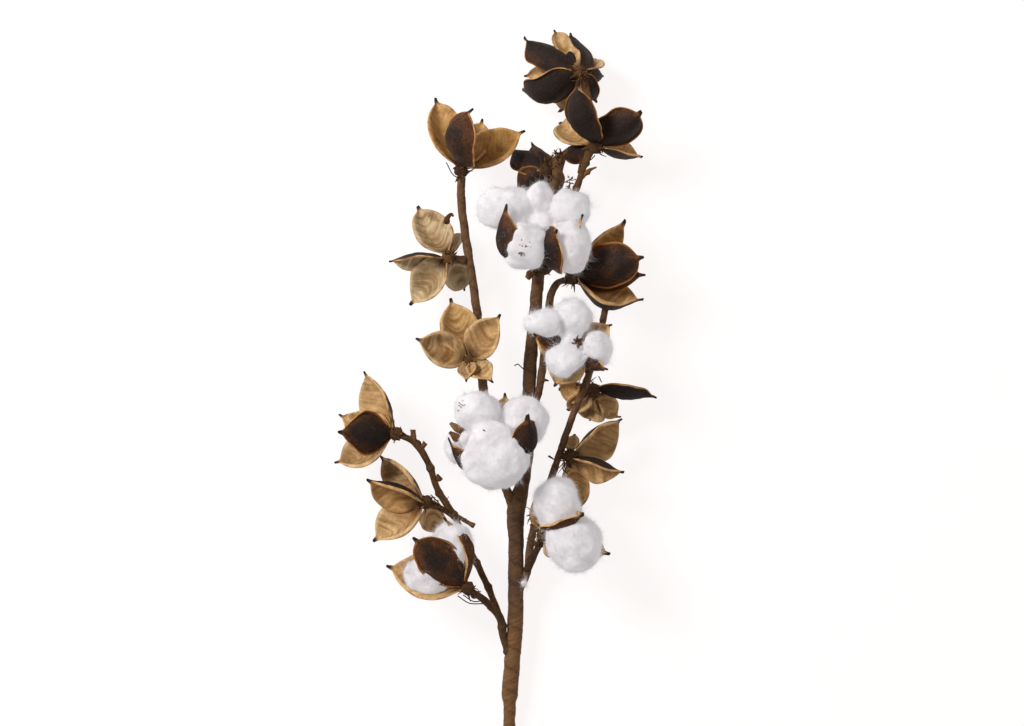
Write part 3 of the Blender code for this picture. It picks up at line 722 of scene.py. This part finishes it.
def fibre_starts(points, triangles, count, random):
    """Places on a skin with their way out, a way aside and a bend."""
    flat = face_normals(points, triangles)
    areas = np.linalg.norm(flat, axis=1)
    chosen = random.choice(len(triangles), count, p=areas / areas.sum())
    weights = random.dirichlet((1, 1, 1), count)
    corners = points[triangles[chosen]]
    base = (corners * weights[:, :, None]).sum(axis=1)
    out = unit(flat[chosen])
    aside = unit(np.cross(out, random.normal(size=(count, 3))))
    bend = unit(random.normal(size=(count, 3)))
    return base, out, aside, bend


def fibre_mesh(base, direction, bend, length, radius, rings):
    """Three-sided fibres, tapered to a point, with a number of rings along each."""
    first = unit(np.cross(direction, bend + 0.01))
    second = np.cross(direction, first)
    corners = []
    for ring in range(rings):
        along = ring / rings
        centre = base + direction * length * along + bend * length * 0.5 * along ** 2
        for corner in range(3):
            turn = corner * 2 * math.pi / 3
            side = first * math.cos(turn) + second * math.sin(turn)
            corners.append(centre + side * radius * (1 - 0.6 * along))
    corners.append(base + direction * length + bend * length * 0.5)
    pattern = [(0, 2, 1)]
    for ring in range(rings - 1):
        for corner in range(3):
            after = (corner + 1) % 3
            pattern.append((3 * ring + corner, 3 * ring + after, 3 * ring + 3 + after))
            pattern.append((3 * ring + corner, 3 * ring + 3 + after, 3 * ring + 3 + corner))
    top = 3 * (rings - 1)
    pattern += [(top, top + 1, top + 3), (top + 1, top + 2, top + 3), (top + 2, top, top + 3)]
    starts = np.arange(len(base))[:, None, None] * (3 * rings + 1)
    return np.stack(corners, axis=1).reshape(-1, 3), (np.array(pattern)[None] + starts).reshape(-1, 3)


def fibre_arrays(points, triangles, shorts, longs, wisps, seed):
    """A plush of short straight fibres, a scatter of curved ones and wisps that stand out together."""
    random = np.random.default_rng(seed)
    groups = []
    for count, rise, mean, shortest, longest, curl, rings in [
            (shorts, 1.6, 0.5, 0.6, 4, 0.2, 1), (longs, 1.2, 0.9, 1.5, 8, 1, 2)]:
        base, out, aside, bend = fibre_starts(points, triangles, count, random)
        direction = unit(out * random.uniform(0.1, rise, (count, 1)) + aside)
        length = random.gamma(4.0, mean, (count, 1)).clip(shortest, longest)
        groups.append(fibre_mesh(base - out * 0.3, direction, bend * curl, length, FIBRE_RADIUS, rings))
    base, out, aside, bend = (np.repeat(part, WISP_FIBRES, axis=0)
                              for part in fibre_starts(points, triangles, wisps, random))
    count = len(base)
    base = base - out * 0.4 + random.normal(0, 0.7, (count, 3))
    direction = unit(out + aside * 0.7 + random.normal(0, 0.45, (count, 3)))
    bend = unit(bend + random.normal(0, 0.8, (count, 3)))
    length = random.uniform(1.5, 6.5, (count, 1))
    groups.append(fibre_mesh(base, direction, bend, length, FIBRE_RADIUS, 2))
    return stacked(groups)


def cleft_at(points, head):
    """How near points are to a second lock: 1 where two locks meet, down to 0 away from there."""
    near = []
    for lock in head.locks:
        centre = np.array(head.seat, float) + lock[:3]
        off = np.linalg.norm((points - centre) / np.array(lock[3:], float), axis=1) - 1
        near.append(np.exp(-np.maximum(off, 0) * sum(lock[3:]) / 3 / CLEFT_WIDTH))
    return np.sort(near, axis=0)[-2]


def lint_skin(head, seed):
    """Points and triangles of the cotton of one boll: locks fused into one soft body."""
    seat = np.array(head.seat, float)
    centres = [np.array(lock[:3], float) for lock in head.locks]
    middle = sum(centres) / len(centres)
    spread = sum(np.linalg.norm(centre - middle) for centre in centres) / len(centres)
    core = (middle - (0, 0, CORE_DROP), [CORE * spread] * 3)
    bodies = [core] + [(centre, lock[3:]) for centre, lock in zip(centres, head.locks)]
    sphere, faces = ball_arrays(5)
    parts = []
    for number, (centre, radii) in enumerate(bodies):
        swell = 1 + 0.12 * noise_at(sphere, 1.5, seed + number)
        parts.append((sphere * swell[:, None] * np.array(radii) + seat + centre, faces))
    points, triangles = fused(parts, VOXEL)
    fluff = (1.8 * noise_at(points, 0.09, seed) + 0.7 * noise_at(points, 0.22, seed)
             + 0.2 * noise_at(points, 0.7, seed) - CLEFT_DEPTH * cleft_at(points, head) ** 2)
    points = points + corner_normals(points, triangles) * fluff[:, None]
    return kept_in_cups(points, head), triangles


def lint_patch(head, seed):
    """The cotton of one boll, with its fibres."""
    points, triangles = lint_skin(head, seed)
    fibres = fibre_arrays(points, triangles, SHORT_FIBRES, LONG_FIBRES, WISPS, seed)
    everything, faces = stacked([(points, triangles), fibres])
    skin = np.zeros((len(everything), 4))
    skin[len(points):, 0] = 1
    skin[:, 1] = cleft_at(everything, head)
    return plain_patch(everything, faces, skin)


def fleck_patch(points, x, y, spread, count, size, seed):
    """Dark flecks that rest on the top of some points."""
    random = np.random.default_rng(seed)
    patches = []
    for _ in range(count):
        place = np.array([x, y]) + random.normal(0, spread / 2, 2)
        near = points[np.linalg.norm(points[:, :2] - place, axis=1) < FLECK_REACH]
        if len(near):
            start = np.array([*place, near[:, 2].max() - 0.1])
            direction = unit(random.normal(size=3) * (1, 1, 0.2))
            patches.append(strand(start, direction, size * random.uniform(1.5, 4), size, random,
                                  0.5, 0, random.uniform(0.4, 1)))
    return joined(patches)


def lint_tuft(centre, radius, count, seed):
    """A small tuft of lint caught on a stem."""
    sphere, faces = ball_arrays(3)
    points = sphere * radius * (1 + 0.3 * noise_at(sphere, 2, seed))[:, None] + np.array(centre)
    points, faces = stacked([(points, faces), fibre_arrays(points, faces, count, count // 4, 4, seed)])
    return plain_patch(points, faces, np.zeros((len(points), 4)))


# ---------------- materials

def colour(code):
    """A linear colour from a six-digit screen colour."""
    parts = [int(code[place:place + 2], 16) / 255 for place in (0, 2, 4)]
    linear = [part / 12.92 if part <= 0.04045 else ((part + 0.055) / 1.055) ** 2.4 for part in parts]
    return (*linear, 1)


class Graph:
    """A material's nodes, built by calls that give back sockets."""

    def __init__(self, name):
        self.material = bpy.data.materials.new(name)
        self.material.use_nodes = True
        self.tree = self.material.node_tree
        self.shader = self.tree.nodes["Principled BSDF"]

    def plug(self, socket, value):
        if isinstance(value, bpy.types.NodeSocket):
            self.tree.links.new(value, socket)
        else:
            socket.default_value = value

    def node(self, kind, inputs, **settings):
        made = self.tree.nodes.new(kind)
        for key, value in settings.items():
            setattr(made, key, value)
        for key, value in inputs.items():
            self.plug(made.inputs[key], value)
        return made

    def attribute(self, name):
        return self.node("ShaderNodeAttribute", {}, attribute_name=name).outputs

    def skin(self):
        """The four numbers of a patch's skin."""
        marks = self.attribute("skin")
        return *self.node("ShaderNodeSeparateColor", {"Color": marks["Color"]}).outputs, marks["Alpha"]

    def grained(self, factors, detail, roughness=0.55):
        """Noise that is drawn out along a patch's grain."""
        grain = self.attribute("grain")["Vector"]
        scaled = self.node("ShaderNodeVectorMath", {0: grain, 1: factors}, operation="MULTIPLY").outputs[0]
        return self.noise(scaled, 1.0, detail, roughness)

    def world_place(self):
        return self.node("ShaderNodeTexCoord", {}).outputs["Object"]

    def noise(self, vector, scale, detail=3.0, roughness=0.55):
        inputs = {"Vector": vector, "Scale": scale, "Detail": detail, "Roughness": roughness}
        return self.node("ShaderNodeTexNoise", inputs).outputs[0]

    def step(self, value, low, high):
        inputs = {"Value": value, "From Min": low, "From Max": high}
        return self.node("ShaderNodeMapRange", inputs, interpolation_type="SMOOTHSTEP").outputs[0]

    def maths(self, operation, first, second):
        return self.node("ShaderNodeMath", {0: first, 1: second}, operation=operation).outputs[0]

    def plus(self, first, second):
        return self.maths("ADD", first, second)

    def times(self, first, second):
        return self.maths("MULTIPLY", first, second)

    def mix(self, first, second, factor):
        return self.node("ShaderNodeMix", {0: factor, 6: first, 7: second}, data_type="RGBA").outputs[2]

    def between(self, low, high, factor):
        """A colour between two screen colours."""
        return self.mix(colour(low), colour(high), factor)

    def stain_or_painted_shade(self, body, stain, amount, share):
        """A colour that takes a share of a screen colour where an amount is high; used for stains and for
        painted shade.
        """
        return self.mix(body, colour(stain), self.times(amount, share))

    def set(self, **values):
        """Set or plug in the shader's inputs, whose names are given with _ for a space."""
        for name, value in values.items():
            self.plug(self.shader.inputs[name.replace("_", " ")], value)

    def finished(self, base, roughness, specular, height, distance, strength):
        """The material, with its colour, gloss and bumps plugged in."""
        inputs = {"Height": height, "Distance": distance, "Strength": strength}
        bump = self.node("ShaderNodeBump", inputs).outputs[0]
        self.set(Base_Color=base, Roughness=roughness, Specular_IOR_Level=specular, Normal=bump)
        return self.material


def lining_colour(graph, margin, along, tone, streaks, broad):
    """A valve's inner side: golden or grey, with painted shade that darkens it deep in its hollow and at its
    base and leaves it paler towards its edges, and with faint streaks and stains.
    """
    fleck = graph.step(streaks, 0.25, 0.75)
    golden = graph.between("9d6929", "daa65e", fleck)
    greyish = graph.between("8c7048", "dcc59d", fleck)
    body = graph.mix(golden, greyish, tone)
    pale = graph.between("d8a765", "dcc8a6", tone)
    # Painted light and shade: the lining is paler towards its edges.
    near_edge = graph.step(graph.plus(margin, graph.times(broad, 0.5)), 0.8, 0.2)
    body = graph.mix(body, pale, graph.times(near_edge, 0.6))
    # Painted shade deep in the hollow, towards the base.
    hollow = graph.times(graph.step(margin, 0.35, 1.3), graph.step(along, 0.75, 0.2))
    body = graph.stain_or_painted_shade(body, "7a4a14", hollow, 0.5)
    body = graph.stain_or_painted_shade(body, "6b4218", graph.step(broad, 0.5, 0.72), 0.6)
    # Painted shade at the base, where the valves meet: dark brown over the first quarter of the length.
    return graph.mix(colour("42260f"), body, graph.step(along, 0.0, 0.24))


def outer_colour(graph, margin, wear, pits, broad):
    """A valve's outer side: black to rusty brown, mottled, with an orange border where it is worn."""
    mottle = graph.step(pits, 0.3, 0.72)
    dark = graph.between("0d0806", "33231b", mottle)
    brown = graph.between("20120a", "754623", mottle)
    patchy = graph.maths("SUBTRACT", graph.step(broad, 0.3, 0.7), 0.5)
    patchy = graph.plus(wear, graph.times(patchy, 0.6))
    rusty_edge = graph.maths("SUBTRACT", graph.step(margin, 1.0, 0.2), 0.6)
    patchy = graph.plus(patchy, graph.times(rusty_edge, 0.5))
    body = graph.mix(dark, brown, graph.step(patchy, 0.0, 1.0))
    ragged = graph.plus(margin, graph.times(broad, 0.16))
    border = graph.times(graph.step(ragged, 0.26, 0.1), graph.step(wear, -0.35, 0.75))
    return graph.mix(body, colour("a5682c"), border)


def bur_material():
    """A valve's skin: lining, pale rim, dark pitted outside, dark beak."""
    graph = Graph("bur_husk")
    side, margin, along, shade = graph.skin()
    place = graph.world_place()
    streaks = graph.grained((0.55, 0.07, 1), 5.0, 0.5)
    broad = graph.noise(place, 85.0, 3.0)
    fine = graph.noise(place, 950.0, 4.0, 0.65)
    pits = graph.mix(fine, graph.grained((1.4, 0.4, 1), 5.0, 0.7), 0.5)
    rim = graph.between("6f411d", "dba76b", graph.step(graph.noise(place, 150.0, 4.0), 0.32, 0.62))
    lining = lining_colour(graph, margin, along, shade, streaks, broad)
    grains = graph.step(graph.noise(place, 420.0, 3.0, 0.6), 0.35, 0.65)
    specks = graph.step(graph.noise(place, 620.0, 1.0), 0.7, 0.76)
    lining = graph.stain_or_painted_shade(graph.stain_or_painted_shade(lining, "5d3814", grains, 0.22), "3f2612", specks, 0.6)
    outside = outer_colour(graph, margin, shade, pits, broad)
    lip = graph.step(graph.plus(margin, graph.times(broad, 0.1)), 0.17, 0.08)
    edge = graph.maths("MAXIMUM", graph.times(lip, 0.7), graph.step(side, 0.1, 0.3))
    body = graph.mix(graph.mix(lining, rim, edge), outside, graph.step(side, 0.55, 0.75))
    tip = graph.step(graph.plus(along, graph.times(fine, 0.05)), 0.91, 0.99)
    body = graph.mix(body, colour("2a1910"), tip)
    gloss = graph.node("ShaderNodeMapRange", {"Value": side, "To Min": 0.62, "To Max": 0.72}).outputs[0]
    height = graph.node("ShaderNodeMix", {0: graph.step(side, 0.4, 0.7), 2: streaks, 3: pits},
                        data_type="FLOAT").outputs[0]
    return graph.finished(body, gloss, 0.2, height, 0.0006, 0.8)


def tape_material():
    """Brown paper tape: helical creases, with painted shade under each lap."""
    graph = Graph("stem_tape")
    lap, _, _, tone = graph.skin()
    creases = graph.grained((1.5, 1.5, 0.12), 4.0, 0.6)
    rings = graph.grained((0.3, 0.3, 1.4), 3.0)
    blotches = graph.noise(graph.world_place(), 90.0, 3.0)
    shade = graph.step(creases, 0.3, 0.7)
    body = graph.mix(graph.between("38261c", "644733", shade), graph.between("5c3f24", "946c42", shade), tone)
    body = graph.stain_or_painted_shade(body, "8a6237", graph.step(blotches, 0.5, 0.8), 0.5)
    # Painted shade along each lap, where one turn of the tape lies over the last.
    body = graph.stain_or_painted_shade(body, "2a1a12", lap, 0.6)
    return graph.finished(body, 0.82, 0.25, graph.plus(creases, rings), 0.0006, 0.9)


def bark_material():
    """Dry brown bark and torn fibre, with painted shade in the furrows."""
    graph = Graph("dry_bark")
    furrow, _, _, tone = graph.skin()
    fibres = graph.grained((2.2, 2.2, 0.2), 4.0, 0.65)
    blotches = graph.noise(graph.world_place(), 260.0, 4.0)
    shade = graph.step(fibres, 0.3, 0.7)
    body = graph.mix(graph.between("24150d", "54361f", shade), graph.between("573819", "9a6c3a", shade), tone)
    body = graph.stain_or_painted_shade(body, "3a1f14", graph.step(blotches, 0.5, 0.7), 0.6)
    # Painted shade: darker in the furrows between the ridges.
    body = graph.stain_or_painted_shade(body, "1e130d", furrow, 0.6)
    return graph.finished(body, 0.8, 0.25, graph.plus(fibres, blotches), 0.0008, 1.0)


def cotton_material():
    """White lint, soft and slightly translucent, with painted shade in the clefts and a faint painted glow.
    """
    graph = Graph("cotton_lint")
    place = graph.world_place()
    _, cleft, _, _ = graph.skin()
    clouds = graph.noise(place, 90.0, 4.0)
    wisps = graph.noise(place, 500.0, 4.0, 0.6)
    body = graph.between("bdb8ba", "cfcccd", graph.step(clouds, 0.3, 0.7))
    # Painted shade: greyer where two locks meet.
    body = graph.stain_or_painted_shade(body, "8f898b", graph.step(cleft, 0.35, 1.0), 0.7)
    # The faint emission is painted light: a glow that lifts the lint's shaded sides and flattens its shading.
    graph.set(Subsurface_Weight=0.3, Subsurface_Radius=(1.0, 1.0, 1.0), Subsurface_Scale=0.002,
              Emission_Color=colour("f3f0f2"), Emission_Strength=0.22)
    return graph.finished(body, 1.0, 0.0, wisps, 0.0008, 0.5)


# ---------------- stage

def add_light(name, place, size, power):
    """A soft square light that points at the middle of the bunch."""
    light = bpy.data.lights.new(name, "AREA")
    light.size = size
    light.energy = power
    lamp = linked(name, light)
    lamp.location = place
    lamp.rotation_euler = (-Vector(place)).to_track_quat("-Z", "Y").to_euler()


def build_stage():
    """Pale floor, soft studio light and a camera that looks straight down."""
    scene = bpy.context.scene
    scene.view_settings.view_transform = "Standard"
    bpy.ops.mesh.primitive_plane_add(size=FLOOR_SIZE, location=(0, 0, 0))
    floor = bpy.context.object
    floor.name = "floor"
    graph = Graph("pale_floor")
    graph.set(Base_Color=FLOOR_COLOUR, Roughness=1.0, Specular_IOR_Level=0.0,
              Emission_Color=colour("fdf9f8"), Emission_Strength=FLOOR_GLOW)
    floor.data.materials.append(graph.material)
    world = bpy.data.worlds.new("studio")
    world.use_nodes = True
    sky = world.node_tree.nodes["Background"].inputs
    sky["Color"].default_value = colour("fdfbfa")
    sky["Strength"].default_value = SKY_STRENGTH
    scene.world = world
    for light in LIGHTS:
        add_light(*light)
    camera_data = bpy.data.cameras.new("camera")
    camera_data.lens = LENS
    camera_data.sensor_width = SENSOR
    scene.camera = linked("camera", camera_data)
    scene.camera.location = CAMERA_PLACE


def dress(name, patch, materials, node=None):
    """Add a piece to the bunch, in place of a node of the frame where it stands for one."""
    thing = add_piece(name, patch, materials)
    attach(thing, "root")
    if node:
        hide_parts(node)


def main():
    husk, tape, bark, cotton = bur_material(), tape_material(), bark_material(), cotton_material()
    for seed, stem in enumerate(STEMS):
        material, slot = (tape, "tape") if stem.finish == "tape" else (bark, "twig")
        dress(stem.name + "_fine", stem_patch(stem, seed + 1), [material], stem.name)
    flecks = []
    for seed, head in enumerate(HEADS):
        dress(head.name + "_fine", bur_patch(head, seed + 1), [husk, bark], head.name)
        if head.locks:
            lint = lint_patch(head, seed + 1)
            dress(head.name + "_cotton", lint, [cotton], head.name + "_lint")
            surface = lint.points[lint.skin[:, 0] < 0.5]
            flecks += [fleck_patch(surface, *row, place) for place, (boll, *row) in enumerate(FLECKS)
                       if boll == head.name]
    dress("flecks", joined(flecks), [bark])
    dress("twig_ends", twig_bits(), [bark])
    dress("wires", wire_bits(), [bark])
    dress("torn_fibres", tuft_bits(), [bark])
    dress("stem_tuft", lint_tuft(*STEM_TUFT), [cotton])
    build_stage()


main()
